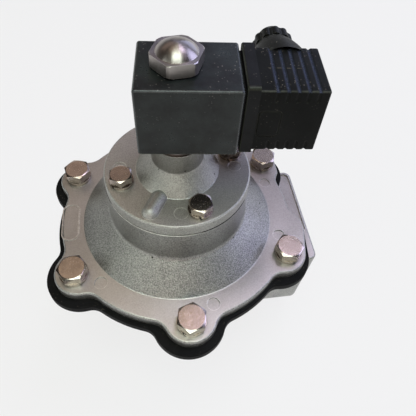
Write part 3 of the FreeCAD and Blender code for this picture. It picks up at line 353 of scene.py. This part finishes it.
def moulded_black(name, low, high, roughness, gloss, dust_and_sheen, dust, dust_tone, edge_tone, edge_share,
                  yaw=None):
    """A black moulded skin: slow changes of tone, smoother where it is greasy, a fine texture of 0.5 mm,
    a layer of dust and single specks on what faces up, the layer also a painted sheen, and edges polished by
    hands and lit by a painted highlight. Where the mesh has them, the attribute hollow adds dust tinted as a
    painted cool reflection in its grooves, and the edge attribute adds wear and a painted highlight. Specks
    are drawn 0.4 mm wide, coarser than real ones."""
    material, t, spot = blank_material(name)
    cloud = add(t, "TexNoise", {"Vector": spot, "Scale": per_metre(18), "Detail": 4.0, "Roughness": 0.6})
    skin = add(t, "TexNoise", {"Vector": spot, "Scale": per_metre(0.5), "Detail": 2.0, "Roughness": 0.6})
    drift = add(t, "MapRange", {"Value": cloud, "From Min": 0.36, "From Max": 0.64})
    tone = add(t, "Mix", {0: drift, 6: linear(low), 7: linear(high)}, out=2, data_type="RGBA")
    # layer of dust on what faces up, lavender grey, which also paints a sheen of light on the tops
    upward = add(t, "SeparateXYZ", {0: add(t, "NewGeometry", out="Normal")}, out="Z")
    top = add(t, "MapRange", {"Value": upward, "From Min": 0.5, "From Max": 0.98})
    patch = add(t, "TexNoise", {"Vector": spot, "Scale": per_metre(8), "Detail": 4.0, "Roughness": 0.65})
    top_dust_and_sheen = add(t, "MapRange", {"Value": patch, "From Min": 0.35, "From Max": 0.68, "To Min": 0.3})
    top_dust_and_sheen = add(t, "Math", {0: top_dust_and_sheen, 1: top}, operation="MULTIPLY")
    top_dust_and_sheen = add(t, "Math", {0: top_dust_and_sheen, 1: dust_and_sheen}, operation="MULTIPLY")
    tone = add(t, "Mix", {0: top_dust_and_sheen, 6: tone, 7: linear("9a98a0")}, out=2, data_type="RGBA")
    # single specks, fewer on the sides and fewest underneath
    cell = add(t, "TexVoronoi", {"Vector": spot, "Scale": per_metre(1.3)}, out="Distance")
    speck = add(t, "MapRange", {"Value": cell, "From Min": 0.24, "From Max": 0.12})
    often = add(t, "MapRange", {"Value": patch, "From Min": 0.5, "From Max": 0.66})
    lying = add(t, "MapRange", {"Value": upward, "From Min": -0.2, "From Max": 0.9, "To Min": 0.1})
    speck = add(t, "Math", {0: speck, 1: often}, operation="MULTIPLY")
    speck = add(t, "Math", {0: speck, 1: lying}, operation="MULTIPLY")
    speck = add(t, "Math", {0: speck, 1: dust}, operation="MULTIPLY")
    tone = add(t, "Mix", {0: speck, 6: tone, 7: linear(dust_tone)}, out=2, data_type="RGBA")
    # dust that settled in grooves, tinted blue-grey as a painted cool reflection
    hollow = add(t, "Attribute", out="Fac", attribute_name="hollow")
    groove_dust_and_reflection = add(t, "MapRange", {"Value": skin, "From Min": 0.35, "From Max": 0.6, "To Min": 0.2})
    groove_dust_and_reflection = add(t, "Math", {0: hollow, 1: groove_dust_and_reflection}, operation="MULTIPLY")
    tone = add(t, "Mix", {0: groove_dust_and_reflection, 6: tone, 7: linear("474e66")}, out=2, data_type="RGBA")
    # edges polished by hands and lit by a painted highlight, in broken lengths
    edge = worn_and_highlit_edges(t, width_mm=0.6, gain=6.0) if yaw is None else block_edges(t, yaw)
    edge = add(t, "Math", {0: edge, 1: edge_share}, operation="MULTIPLY")
    wear_and_highlight = add(t, "Attribute", out="Fac", attribute_name="wear_and_highlight")
    edge = add(t, "Math", {0: edge, 1: wear_and_highlight}, operation="MAXIMUM")
    uneven = add(t, "MapRange", {"Value": patch, "From Min": 0.3, "From Max": 0.6, "To Min": 0.45})
    edge = add(t, "Math", {0: edge, 1: uneven}, operation="MULTIPLY")
    tone = add(t, "Mix", {0: edge, 6: tone, 7: linear(edge_tone)}, out=2, data_type="RGBA")
    # skin, smoother on the edges and where it is greasy
    rough = add(t, "MapRange", {"Value": skin, "From Min": 0.3, "From Max": 0.7,
                                "To Min": roughness - 0.06, "To Max": roughness + 0.06})
    rough = add(t, "Math", {0: edge, 1: -0.2, 2: rough}, operation="MULTIPLY_ADD")
    greasy = add(t, "MapRange", {"Value": cloud, "From Min": 0.34, "From Max": 0.66, "To Min": 0.05,
                                 "To Max": -0.05})
    rough = add(t, "Math", {0: rough, 1: greasy}, operation="ADD")
    bumpy = add(t, "Bump", {"Height": skin, "Strength": 0.25, "Distance": 0.00008})
    shader = add(t, "BsdfPrincipled", {"Base Color": tone, "Roughness": rough, "Normal": bumpy,
                                       "IOR": 1.5, "Specular IOR Level": gloss})
    add(t, "OutputMaterial", {"Surface": shader})
    return material


nitrile_rubber = moulded_black(
    "moulded_nitrile_rubber", low="101011", high="181818", roughness=0.6, gloss=0.07, dust_and_sheen=0.0, dust=0.5,
    dust_tone="6c665c", edge_tone="2c2c2e", edge_share=0.3)
finish_nodes(["main_diaphragm", "pilot_diaphragm", "plunger_seal", "lower_coil_seal", "nut_seal_ring",
              "gland_grommet"], nitrile_rubber)
joint_bead("rubber_bulge_right", 282, 330, RUBBER_LOW, RUBBER_HIGH, RUBBER_BULGE, nitrile_rubber)
joint_bead("rubber_bulge_left", 184, 204, RUBBER_LOW, RUBBER_HIGH, RUBBER_BULGE, nitrile_rubber)


# Main disc, pilot plate and small screws: steel pressings and screws, barrel-plated with zinc.
# The plates clamp the rubber of the main disc between them.

def zinc_plate():
    """Bluish white, with the faint bloom of plating and slightly brighter edges."""
    material, t, spot = blank_material("zinc_plated_steel")
    bloom = add(t, "TexNoise", {"Vector": spot, "Scale": per_metre(5), "Detail": 3.0})
    tone = add(t, "Mix", {0: bloom, 6: linear("a3a5a4"), 7: linear("bdbfc0")}, out=2, data_type="RGBA")
    # edges lightened: wear and a painted highlight
    edge = add(t, "Math", {0: worn_and_highlit_edges(t, width_mm=0.4, gain=6.0), 1: 0.5}, operation="MULTIPLY")
    tone = add(t, "Mix", {0: edge, 6: tone, 7: linear("e2e2e0")}, out=2, data_type="RGBA")
    rough = add(t, "MapRange", {"Value": bloom, "To Min": 0.28, "To Max": 0.42})
    shader = add(t, "BsdfPrincipled", {"Base Color": tone, "Metallic": 1.0, "Roughness": rough})
    add(t, "OutputMaterial", {"Surface": shader})
    return material


finish_nodes(["main_top_plate", "main_low_plate", "centre_bolt", "centre_nut", "pilot_plate",
              "plug_screw", "gland_washer"], zinc_plate())


# Flange bolts and pilot bolts with their spring washers: cold-formed stainless steel. The bolts hold
# the covers down on the rubber, and the split washers keep them from working loose.

def tumbled_stainless():
    """Warm grey and nearly mirror-like, with shallow dents from forming, bright edges that are rubbed and
    lit by a painted highlight, and dirt with painted shade in corners.
    """
    material, t, spot = blank_material("cold_formed_stainless_steel")
    cloud = add(t, "TexNoise", {"Vector": spot, "Scale": per_metre(5), "Detail": 3.0, "Roughness": 0.6})
    fine = add(t, "TexNoise", {"Vector": spot, "Scale": per_metre(0.6), "Detail": 2.0})
    drift = add(t, "MapRange", {"Value": cloud, "From Min": 0.35, "From Max": 0.65})
    tone = add(t, "Mix", {0: drift, 6: linear("aa9e95"), 7: linear("bcb0a6")}, out=2, data_type="RGBA")
    # edges lightened: wear and a painted highlight
    edge = add(t, "Math", {0: worn_and_highlit_edges(t, width_mm=0.35, gain=6.0), 1: 0.6}, operation="MULTIPLY")
    tone = add(t, "Mix", {0: edge, 6: tone, 7: linear("f0eee8")}, out=2, data_type="RGBA")
    # soil and painted shade: darker in corners, where the AO node finds the surface hemmed in
    sky = add(t, "AmbientOcclusion", {"Distance": 0.002}, out="AO", samples=6)
    soil_and_shade = add(t, "MapRange", {"Value": sky, "From Min": 0.6, "From Max": 0.2, "To Max": 0.7})
    tone = add(t, "Mix", {0: soil_and_shade, 6: tone, 7: linear("3c362e")}, out=2, data_type="RGBA")
    rough = add(t, "MapRange", {"Value": fine, "From Min": 0.3, "From Max": 0.7, "To Min": 0.16,
                                "To Max": 0.28})
    dents = add(t, "Bump", {"Height": cloud, "Strength": 0.12, "Distance": 0.0003})
    scratched = add(t, "Bump", {"Height": fine, "Strength": 0.1, "Distance": 0.00005, "Normal": dents})
    shader = add(t, "BsdfPrincipled", {"Base Color": tone, "Metallic": 1.0, "Roughness": rough,
                                       "Normal": scratched})
    add(t, "OutputMaterial", {"Surface": shader})
    return material


finish_nodes(["flange_bolts", "pilot_bolts", "flange_spring_washers", "pilot_spring_washers"],
             tumbled_stainless())


# Springs: stainless spring wire, drawn through a die and coiled cold. They push the main disc, the
# pilot disc and the plunger shut.

def drawn_wire():
    """Even grey with a soft sheen along the wire."""
    material, t, spot = blank_material("drawn_stainless_wire")
    streak = add(t, "TexNoise", {"Vector": spot, "Scale": per_metre(2), "Detail": 2.0})
    tone = add(t, "Mix", {0: streak, 6: linear("94928f"), 7: linear("aaa8a5")}, out=2, data_type="RGBA")
    shader = add(t, "BsdfPrincipled", {"Base Color": tone, "Metallic": 1.0, "Roughness": 0.32})
    add(t, "OutputMaterial", {"Surface": shader})
    return material


finish_nodes(["main_spring", "pilot_spring", "plunger_spring"], drawn_wire())


def pressed_spring(node):
    """A copy of a CAD spring in place of the hidden CAD piece, with its placement baked into the mesh."""
    wire = bpy.data.objects.new(node + "_wire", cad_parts[node].data.copy())
    scene.collection.objects.link(wire)
    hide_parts(node)
    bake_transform(wire)


pressed_spring("main_spring")
pressed_spring("pilot_spring")
pressed_spring("plunger_spring")


# Solenoid tube, fixed core, plunger and cap nut: stainless bar, turned and then polished. The nut
# holds the coil down over the tube.

def turned_stainless():
    """Rings of fine tool marks round the axis, which pull each highlight out into a fan."""
    material, t, spot = blank_material("turned_stainless_steel")
    cloud = add(t, "TexNoise", {"Vector": spot, "Scale": per_metre(6), "Detail": 3.0, "Roughness": 0.6})
    drift = add(t, "MapRange", {"Value": cloud, "From Min": 0.35, "From Max": 0.65})
    tone = add(t, "Mix", {0: drift, 6: linear("9b9591"), 7: linear("aca6a2")}, out=2, data_type="RGBA")
    # edges lightened: wear and a painted highlight
    edge = add(t, "Math", {0: worn_and_highlit_edges(t, width_mm=0.4, gain=6.0), 1: 0.5}, operation="MULTIPLY")
    tone = add(t, "Mix", {0: edge, 6: tone, 7: linear("f0eee8")}, out=2, data_type="RGBA")
    round_axis = add(t, "Tangent", direction_type="RADIAL", axis="Z")
    shader = add(t, "BsdfPrincipled", {"Base Color": tone, "Metallic": 1.0, "Roughness": 0.3,
                                       "Anisotropic": 0.75, "Anisotropic Rotation": 0.25,
                                       "Tangent": round_axis})
    add(t, "OutputMaterial", {"Surface": shader})
    return material


finish_nodes(["coil_nut", "armature_tube", "fixed_core", "plunger"], turned_stainless())


# Coil: a copper winding and iron frame moulded into a block of black epoxy with a satin skin.
# It slides over the tube, turned a few degrees, and the plug sits on its right side.

# the coil and the plug are turned together by this angle round the tube
PLUG_YAW = math.radians(-5.9)

finish_nodes(["coil"], moulded_black(
    "moulded_black_epoxy", low="020404", high="232a29", roughness=0.34, gloss=0.32, dust_and_sheen=0.03, dust=0.8,
    dust_tone="a8a29c", edge_tone="4e5355", edge_share=0.8, yaw=PLUG_YAW))


# Cable plug: gasket collar, ribbed housing, terminal insert and gland nut, all injection moulded in
# black nylon with glass fibre. One centre screw pulls the plug against the coil.

plug_nylon = moulded_black(
    "moulded_black_nylon", low="121312", high="181918", roughness=0.42, gloss=0.07, dust_and_sheen=0.002, dust=0.8,
    dust_tone="a39a90", edge_tone="50534e", edge_share=0.3)
finish_nodes(["plug_insert", "gland_nut"], plug_nylon)
finish_nodes(["plug_gasket"], moulded_black(
    "moulded_black_collar", low="08090a", high="101112", roughness=0.45, gloss=0.15, dust_and_sheen=0.012, dust=0.5,
    dust_tone="a39a90", edge_tone="33362f", edge_share=0.9, yaw=PLUG_YAW))


# Plug housing: a nylon moulding with soft grooves that wrap from its top and bottom over the edges, a
# bare panel in front and a round neck for the gland. It replaces the CAD housing, whose grooves
# are wider and sharper. All sizes are in millimetres in the plug's own turned frame.

PLUG_START, PLUG_END = 31.1, 57.95
PLUG_HALF = 14.05
PLUG_LOW, PLUG_HIGH = 154.0, 185.5
PLUG_MIDDLE = (PLUG_LOW + PLUG_HIGH) / 2
EDGE_ROUND = 0.8
# grooves: middles along the plug, half width, depths on top and on the sides, run down a side and length
# of the rounded tip
GROOVE_FIRST, GROOVE_STEP, GROOVES = 37.7, 4.0, 5
GROOVE_MIDDLES = [GROOVE_FIRST + GROOVE_STEP * i for i in range(GROOVES)]
GROOVE_HALF = 1.05
TOP_DEPTH, SIDE_DEPTH = 0.75, 0.4
SIDE_RUN, SIDE_TIP = 3.2, 1.6
SCREW_HOLE_R, SCREW_HOLE_DEPTH, SCREW_HOLE_SIDES = 3.1, 3.4, 24
# bare panel: middle and half sizes along the plug and in height, corner radius, then its line
PANEL_MIDDLE, PANEL_HALF, PANEL_ROUND = (36.35, 168.9), (4.45, 6.6), 1.6
LINE_HALF, LINE_DEPTH, PANEL_RISE = 0.35, 0.5, 0.1
# fineness of the skin: steps along the plug, steps down its sides, and points on its rounded edges
SKIN_STEP, SKIN_STATIONS = 0.15, 174
SIDE_STEP, SIDE_ROWS = 0.25, 60
TOP_YS = (0.0, 5.0, 10.0)
EDGE_STEPS, END_STEPS = 6, 5
# rings of the neck for the gland: distance from the plug's middle plane, radius and shift towards the end
NECK_RINGS = ((12.0, 12.8, 1.6), (16.0, 12.1, 1.4), (20.0, 11.2, 1.0), (24.0, 10.0, 0.5), (27.5, 8.7, 0.0),
              (27.5, 7.4, 0.0), (32.5, 7.4, 0.0), (32.5, 6.35, 0.0), (26.0, 6.35, 0.0), (26.0, 5.0, 0.0),
              (12.0, 5.0, 0.0))
NECK_FLARE_RINGS = 4
NECK_MIDDLE_X, NECK_ABOVE_MIDDLE = 43.0, 4.55
NECK_SIDES = 48


def plug_point(x, y, z):
    """A point of the plug's own frame as metres in the part's frame."""
    return Vector((x * math.cos(PLUG_YAW) - y * math.sin(PLUG_YAW),
                   x * math.sin(PLUG_YAW) + y * math.cos(PLUG_YAW), z)) / 1000.0


def quarter_section():
    """Points from the middle of the top to the middle of a side: y, height above the middle, the way
    out and how far down the side, as y, z, out_y, out_z, down. Down is -1 where the edge's rounding
    starts and 0 where it ends."""
    rise = (PLUG_HIGH - PLUG_LOW) / 2
    inner_y, inner_z = PLUG_HALF - EDGE_ROUND, rise - EDGE_ROUND
    rows = [(y, rise, 0.0, 1.0, -1.0) for y in (*TOP_YS, inner_y)]
    for i in range(1, EDGE_STEPS + 1):
        turn = math.radians(90 * i / EDGE_STEPS)
        rows.append((inner_y + EDGE_ROUND * math.sin(turn), inner_z + EDGE_ROUND * math.cos(turn),
                     math.sin(turn), math.cos(turn), i / EDGE_STEPS - 1))
    for i in range(1, SIDE_ROWS + 1):
        rows.append((PLUG_HALF, max(inner_z - SIDE_STEP * i, 0.0), 1.0, 0.0, SIDE_STEP * i))
    return rows


def whole_section():
    """The quarter mirrored to a closed loop, clockwise from the middle of the top."""
    quarter = quarter_section()
    rows = list(quarter)
    rows += [(y, -z, oy, -oz, d) for y, z, oy, oz, d in reversed(quarter[:-1])]
    rows += [(-y, -z, -oy, -oz, d) for y, z, oy, oz, d in quarter[1:]]
    rows += [(-y, z, -oy, oz, d) for y, z, oy, oz, d in reversed(quarter[1:-1])]
    return rows


def groove_depth(x, down):
    """How deep the nearest groove is at x, and how much of its full depth that is."""
    width = GROOVE_HALF
    depth = TOP_DEPTH
    if down > -1.0:
        depth += (SIDE_DEPTH - TOP_DEPTH) * min(down + 1.0, 1.0)
    if down > SIDE_RUN:
        past = (down - SIDE_RUN) / SIDE_TIP
        if past >= 1.0:
            return 0.0, 0.0
        width *= math.sqrt(1 - past * past)
    away = min(abs(x - middle) for middle in GROOVE_MIDDLES) / width
    share = math.cos(away * math.pi / 2) ** 2 if away < 1 else 0.0
    return depth * share, share


def panel_line(x, z):
    """Depth of the line round the bare panel, from the distance to its rounded outline."""
    side_x = abs(x - PANEL_MIDDLE[0]) - (PANEL_HALF[0] - PANEL_ROUND)
    side_z = abs(z - PANEL_MIDDLE[1]) - (PANEL_HALF[1] - PANEL_ROUND)
    away = math.hypot(max(side_x, 0.0), max(side_z, 0.0)) + min(max(side_x, side_z), 0.0) - PANEL_ROUND
    cut = LINE_DEPTH * max(0.0, 1 - abs(away) / LINE_HALF)
    return cut - (PANEL_RISE if away < 0 else 0.0)


def band(first, second, sides):
    """Faces between two rings of points, given by the number of each ring's first point."""
    return [(first + i, first + (i + 1) % sides, second + (i + 1) % sides, second + i)
            for i in range(sides)]


def ribbed_skin(section):
    """Skin with its grooves, from the collar to the rounded end: points, faces, and for each point how
    far it lies in a groove and how much wear and painted highlight its edge gets."""
    stations = [(PLUG_START + SKIN_STEP * i, 0.0) for i in range(SKIN_STATIONS)]
    for i in range(END_STEPS + 1):
        turn = math.radians(90 * i / END_STEPS)
        stations.append((PLUG_END - EDGE_ROUND * (1 - math.sin(turn)),
                         EDGE_ROUND * (1 - math.cos(turn))))
    points, faces, hollow, wear_and_highlight = [], [], [], []
    for x, inset in stations:
        for y, z, out_y, out_z, down in section:
            depth, share = groove_depth(x, down)
            on_front = out_y < -0.99 and down > 1.0 and inset == 0.0
            if on_front:
                depth += panel_line(x, PLUG_MIDDLE + z)
            back = inset + depth
            points.append(plug_point(x, y - out_y * back, PLUG_MIDDLE + z - out_z * back))
            # the groove share on top later gets dust tinted as a painted cool reflection, and the rounded
            # top and bottom edges get wear and a painted highlight, less where a groove cuts them
            hollow.append(share if down <= 0.0 else 0.0)
            rounding = 1 - abs(2 * down + 1) if -1.0 <= down <= 0.0 else 0.0
            wear_and_highlight.append(rounding * (1 - share))
    around = len(section)
    for i in range(len(stations) - 1):
        faces += band(i * around, (i + 1) * around, around)
    return points, faces, hollow, wear_and_highlight


def screw_end(section, points):
    """Adds the points of the screw's counterbore, and gives the faces of the plug's end with it."""
    around = len(section)
    last = len(points) - around
    rim = [math.radians(360 * i / SCREW_HOLE_SIDES) for i in range(SCREW_HOLE_SIDES)]
    rings = []
    for x, r in ((PLUG_END, SCREW_HOLE_R), (PLUG_END - SCREW_HOLE_DEPTH, SCREW_HOLE_R),
                 (PLUG_END - SCREW_HOLE_DEPTH, SCREW_HOLE_R / 2)):
        rings.append(len(points))
        points += [plug_point(x, r * math.cos(a), PLUG_MIDDLE + r * math.sin(a)) for a in rim]
    outer = [Vector((y - out_y * EDGE_ROUND, z - out_z * EDGE_ROUND, 0))
             for y, z, out_y, out_z, down in section]
    inner = [Vector((SCREW_HOLE_R * math.cos(a), SCREW_HOLE_R * math.sin(a), 0)) for a in rim]
    faces = []
    for tri in tessellate_polygon([outer, inner]):
        faces.append(tuple(last + v if v < around else rings[0] + v - around for v in tri))
    for first, second in zip(rings, rings[1:]):
        faces += band(first, second, SCREW_HOLE_SIDES)
    return faces


def gland_neck(points):
    """Adds the neck's rings of points, from its wide foot to the bored stub inside the gland nut, and
    gives its faces."""
    start = len(points)
    for y, r, shift in NECK_RINGS:
        for i in range(NECK_SIDES):
            turn = math.radians(360 * i / NECK_SIDES)
            points.append(plug_point(NECK_MIDDLE_X + shift + r * math.cos(turn), y,
                                     PLUG_MIDDLE + NECK_ABOVE_MIDDLE + r * math.sin(turn)))
    faces = []
    for ring in range(len(NECK_RINGS) - 1):
        first = start + ring * NECK_SIDES
        faces += [face[::-1] for face in band(first, first + NECK_SIDES, NECK_SIDES)]
    faces.append(tuple(range(len(points) - NECK_SIDES, len(points))))
    return faces


plug_section = whole_section()
plug_points, skin_faces, hollow, wear_and_highlight = ribbed_skin(plug_section)
collar_end = tuple(reversed(range(len(plug_section))))
end_faces = [collar_end, *screw_end(plug_section, plug_points)]
neck_faces = gland_neck(plug_points)
ribbed_housing = mesh_object("ribbed_plug_housing", plug_points, skin_faces + end_faces + neck_faces,
                             plug_nylon)
neck_from = len(skin_faces) + len(end_faces)
for i, face in enumerate(ribbed_housing.data.polygons):
    on_flare = neck_from <= i < neck_from + NECK_FLARE_RINGS * NECK_SIDES
    face.use_smooth = i < len(skin_faces) or on_flare
for mark, amounts in (("hollow", hollow), ("wear_and_highlight", wear_and_highlight)):
    attribute = ribbed_housing.data.attributes.new(mark, "FLOAT", "POINT")
    attribute.data.foreach_set("value", amounts + [0.0] * (len(plug_points) - len(amounts)))
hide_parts("plug_housing")
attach(ribbed_housing, "valve")


# Parting line of the plug: a thin flash where the two halves of the mould met, halfway along the
# plug's top. It shows as tan dashes on the ribs between the grooves.

FLASH_SPANS = ((35.3, 36.6), (38.8, 40.6), (42.8, 44.6), (46.8, 48.6))
FLASH_HALF = 0.15
FLASH_RISE, FLASH_SINK = 0.08, 0.05

flash_points, flash_faces = [], []
for span in FLASH_SPANS:
    a = len(flash_points)
    for x in span:
        for y, rise in ((-FLASH_HALF, -FLASH_SINK), (0.0, FLASH_RISE), (FLASH_HALF, -FLASH_SINK)):
            flash_points.append(plug_point(x, y, PLUG_HIGH + rise))
    flash_faces += [(a, a + 3, a + 4, a + 1), (a + 1, a + 4, a + 5, a + 2), (a, a + 2, a + 5, a + 3),
                    (a, a + 1, a + 2), (a + 3, a + 5, a + 4)]
plug_flash = mesh_object("plug_flash", flash_points, flash_faces, moulded_black(
    "rubbed_nylon_flash", low="4c463e", high="7c7366", roughness=0.5, gloss=0.3, dust_and_sheen=0.0, dust=0.0,
    dust_tone="a39a90", edge_tone="7c7366", edge_share=0.2))
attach(plug_flash, "valve")


# Coil terminals, plug contacts and pilot rivet: stamped and turned brass, left bare.

def stamped_brass():
    """Yellow metal, a little tarnished, with bright sheared edges that also carry a painted highlight."""
    material, t, spot = blank_material("stamped_brass")
    tarnish = add(t, "TexNoise", {"Vector": spot, "Scale": per_metre(3), "Detail": 3.0})
    tone = add(t, "Mix", {0: tarnish, 6: linear("a8843f"), 7: linear("cbaa5c")}, out=2, data_type="RGBA")
    # edges lightened: bare sheared metal and a painted highlight
    edge = add(t, "Math", {0: worn_and_highlit_edges(t, width_mm=0.3, gain=6.0), 1: 0.4}, operation="MULTIPLY")
    tone = add(t, "Mix", {0: edge, 6: tone, 7: linear("ecd9a0")}, out=2, data_type="RGBA")
    rough = add(t, "MapRange", {"Value": tarnish, "To Min": 0.22, "To Max": 0.4})
    shader = add(t, "BsdfPrincipled", {"Base Color": tone, "Metallic": 1.0, "Roughness": rough})
    add(t, "OutputMaterial", {"Surface": shader})
    return material


finish_nodes(["pilot_rivet", "coil_terminals", "plug_contacts"], stamped_brass())


# Floor: one pale matt sheet. The camera, metal and glass see it near white, and it keeps the shadow.

FLOOR_HALF = 12.0
PAPER_GLOW = 0.85


def seen_in_picture(tree):
    """1 for rays of the camera and for those that metal and glass send, 0 for the rest."""
    seen = add(tree, "LightPath", out="Is Camera Ray")
    mirrored = add(tree, "LightPath", out="Is Glossy Ray")
    through = add(tree, "LightPath", out="Is Transmission Ray")
    seen = add(tree, "Math", {0: seen, 1: mirrored}, operation="MAXIMUM")
    return add(tree, "Math", {0: seen, 1: through}, operation="MAXIMUM")


def white_paper():
    """Matt paper that looks evenly white, with a weak shadow under the valve."""
    paper, t = blank_material("matt_white_paper")[:2]
    matt = add(t, "BsdfDiffuse", {"Color": linear("e8e8e8")})
    glow = add(t, "Emission", {"Color": linear("f6f6f6"), "Strength": 1.0})
    share = add(t, "Math", {0: seen_in_picture(t), 1: PAPER_GLOW}, operation="MULTIPLY")
    add(t, "OutputMaterial", {"Surface": add(t, "MixShader", {0: share, 1: matt, 2: glow})})
    return paper


corners = [(-FLOOR_HALF, -FLOOR_HALF, 0), (FLOOR_HALF, -FLOOR_HALF, 0), (FLOOR_HALF, FLOOR_HALF, 0),
           (-FLOOR_HALF, FLOOR_HALF, 0)]
mesh_object("floor", corners, [(0, 1, 2, 3)], white_paper())


# Light: soft lamps of a plain studio. Most of it falls from above the front, a cool window stands at
# the right, and weaker warm and lilac lamps above the back colour the flat tops of the bolts.

LAMP_AIM = Vector((0, 0, 0.11))


def hang_lamp(name, place, size, watts, colour):
    """A soft rectangular lamp at this place in metres, turned towards the valve."""
    data = bpy.data.lights.new(name, "AREA")
    data.shape = "RECTANGLE"
    data.size, data.size_y = size
    data.energy = watts
    data.color = linear(colour)[:3]
    lamp = bpy.data.objects.new(name, data)
    scene.collection.objects.link(lamp)
    lamp.location = place
    lamp.rotation_mode = "QUATERNION"
    lamp.rotation_quaternion = (LAMP_AIM - Vector(place)).to_track_quat("-Z", "Y")


hang_lamp("ceiling", (0.005, 0.25, 1.30), (0.85, 0.79), 1.65, "ffe6cc")
hang_lamp("above_front", (-0.05, -0.35, 1.35), (0.7, 0.7), 8.6, "f0fff4")
hang_lamp("right_window", (1.15, 0.10, 0.88), (0.8, 0.9), 7.4, "d1d3ff")
hang_lamp("front_window", (-0.25, -1.10, 0.75), (0.9, 0.5), 1.7, "ffd8c8")
hang_lamp("left_wall", (-1.05, -0.55, 0.65), (0.8, 0.8), 2.4, "f9fff8")
hang_lamp("back_right", (0.80, 1.00, 0.66), (0.8, 0.6), 2.3, "ccd6ff")
hang_lamp("high_right", (0.50, 0.70, 1.15), (0.5, 0.5), 0.4, "e6e8ff")
hang_lamp("ceiling_right", (0.38, 0.31, 1.35), (0.4, 0.4), 2.5, "e4dcff")
hang_lamp("high_left", (-0.42, 0.88, 1.02), (0.78, 0.5), 0.58, "ffe5d7")
hang_lamp("back_window", (0.20, 0.95, 0.85), (0.3, 0.3), 0.25, "d8dcff")


# Room round the floor: dim above, and a pale wall as high as the camera can see from the side. The
# camera, metal and glass see that wall, and matt surfaces see only the dim room.

# sines of the angles above the horizon at which the pale wall starts to fade and has faded
WALL_TOP, WALL_FADE = math.sin(math.radians(11)), math.sin(math.radians(14))

world = bpy.data.worlds.new("studio")
scene.world = world
world.use_nodes = True
sky = world.node_tree
sky.nodes.clear()
height = add(sky, "SeparateXYZ", {0: add(sky, "TexCoord", out="Generated")}, out="Z")
wall = add(sky, "MapRange", {"Value": height, "From Min": WALL_FADE, "From Max": WALL_TOP})
wall = add(sky, "Math", {0: wall, 1: seen_in_picture(sky)}, operation="MULTIPLY")
dim = add(sky, "Background", {"Color": linear("e0cdb4"), "Strength": 0.05})
pale = add(sky, "Background", {"Color": linear("f1f1f1"), "Strength": 1.0})
add(sky, "OutputWorld", {"Surface": add(sky, "MixShader", {0: wall, 1: dim, 2: pale})})
